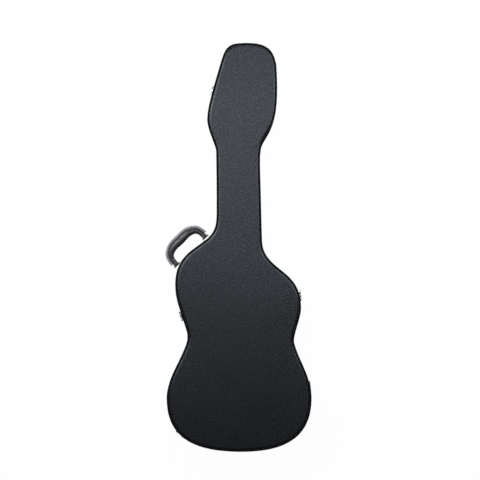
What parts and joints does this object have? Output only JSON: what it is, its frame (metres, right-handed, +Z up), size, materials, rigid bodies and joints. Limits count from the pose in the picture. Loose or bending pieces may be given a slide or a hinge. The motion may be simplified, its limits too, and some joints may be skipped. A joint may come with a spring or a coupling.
{
  "type": "guitar case",
  "caption": "Shaped hard case for an electric guitar: vinyl-covered plywood base and hinged lid, draw latches, folding grip handle, plush padding, neck cradle and accessory box.",
  "frame": {"origin": "on the bottom face, under the middle of the case's outline, where it lies on the floor", "axes": "+X towards the hinge side, +Y towards the head end, +Z up through the lid"},
  "size_m": [0.3767, 1.05, 0.104],
  "materials": {
    "vinyl": "grained black vinyl over plywood",
    "binding": "sewn black edge binding",
    "plywood": "bare ply, hidden by the coverings",
    "plush": "short black pile over foam and board",
    "chrome": "bright plated steel",
    "steel": "turned pins",
    "grip": "moulded satin black"
  },
  "bodies": {
    "base": {"base_bottom_cover": "vinyl", "base_side_cover": "vinyl", "base_binding": "binding", "base_panel": "plywood", "base_rim": "plywood", "base_lip": "plush", "floor_lining": "plush", "body_padding_horn_right": "plush", "body_padding_waist_right": "plush", "body_padding_bout_right": "plush", "body_padding_tail": "plush", "body_padding_bout_left": "plush", "body_padding_waist_left": "plush", "body_padding_horn_left": "plush", "neck_padding_left": "plush", "neck_padding_right": "plush", "head_padding": "plush", "neck_cradle": "plush", "accessory_box": "plush", "accessory_shelf": "plush", "hinge_leaf_base_head": "chrome", "hinge_leaf_base_bout": "chrome", "hinge_leaf_base_tail": "chrome", "hinge_pin_head": "steel", "hinge_pin_bout": "steel", "hinge_pin_tail": "steel", "latch_plate_head": "chrome", "latch_plate_waist": "chrome", "latch_plate_tail": "chrome", "handle_bracket_lower": "chrome", "handle_bracket_upper": "chrome", "handle_pin_lower": "steel", "handle_pin_upper": "steel"},
    "lid": {"lid_top_cover": "vinyl", "lid_side_cover": "vinyl", "lid_binding": "binding", "lid_panel": "plywood", "lid_rim": "plywood", "lid_lining": "plush", "lid_wall_lining": "plush", "hinge_leaf_lid_head": "chrome", "hinge_leaf_lid_bout": "chrome", "hinge_leaf_lid_tail": "chrome", "latch_keeper_head": "chrome", "latch_keeper_waist": "chrome", "latch_keeper_tail": "chrome"},
    "accessory_flap": {"accessory_lid": "plush", "accessory_pull_tab": "binding"},
    "handle": {"handle_grip": "grip", "handle_flange": "grip", "handle_end_lower": "grip", "handle_end_upper": "grip"},
    "lever_head": {"latch_lever_head": "chrome"},
    "lever_waist": {"latch_lever_waist": "chrome"},
    "lever_tail": {"latch_lever_tail": "chrome"},
    "bail_head": {"latch_bail_head": "chrome"},
    "bail_waist": {"latch_bail_waist": "chrome"},
    "bail_tail": {"latch_bail_tail": "chrome"}
  },
  "joints": [
    {"name": "lid_hinge", "type": "hinge", "parent": "base", "child": "lid", "pos_m": [0.18366, -0.36054, 0.066], "axis": [-0.1058, 0.9944, 0], "range_deg": [0, 105]},
    {"name": "handle_swing", "type": "hinge", "parent": "base", "child": "handle", "pos_m": [-0.12525, -0.00988, 0.042], "axis": [0.7126, 0.7015, 0], "range_deg": [-48, 48]},
    {"name": "accessory_hinge", "type": "hinge", "parent": "base", "child": "accessory_flap", "pos_m": [0.01292, 0.123, 0.0401], "axis": [0, 1, 0], "range_deg": [0, 95]},
    {"name": "lever_head_pivot", "type": "hinge", "parent": "base", "child": "lever_head", "pos_m": [-0.07024, 0.4084, 0.056], "axis": [0.2691, 0.9631, 0], "range_deg": [0, 120]},
    {"name": "lever_waist_pivot", "type": "hinge", "parent": "base", "child": "lever_waist", "pos_m": [-0.15099, -0.1796, 0.056], "axis": [-0.3071, 0.9517, 0], "range_deg": [0, 120]},
    {"name": "lever_tail_pivot", "type": "hinge", "parent": "base", "child": "lever_tail", "pos_m": [-0.15405, -0.48591, 0.056], "axis": [-0.7648, 0.6443, 0], "range_deg": [0, 120]},
    {"name": "bail_head_pivot", "type": "hinge", "parent": "lever_head", "child": "bail_head", "pos_m": [-0.06774, 0.4077, 0.049], "axis": [0.2691, 0.9631, 0], "range_deg": [-135, 0]},
    {"name": "bail_waist_pivot", "type": "hinge", "parent": "lever_waist", "child": "bail_waist", "pos_m": [-0.14851, -0.1788, 0.049], "axis": [-0.3071, 0.9517, 0], "range_deg": [-135, 0]},
    {"name": "bail_tail_pivot", "type": "hinge", "parent": "lever_tail", "child": "bail_tail", "pos_m": [-0.15237, -0.48392, 0.049], "axis": [-0.7648, 0.6443, 0], "range_deg": [-135, 0]}
  ],
  "couplings": [
    {"joint": "bail_head_pivot", "follows": "lever_head_pivot", "ratio": -1.1},
    {"joint": "bail_waist_pivot", "follows": "lever_waist_pivot", "ratio": -1.1},
    {"joint": "bail_tail_pivot", "follows": "lever_tail_pivot", "ratio": -1.1}
  ]
}
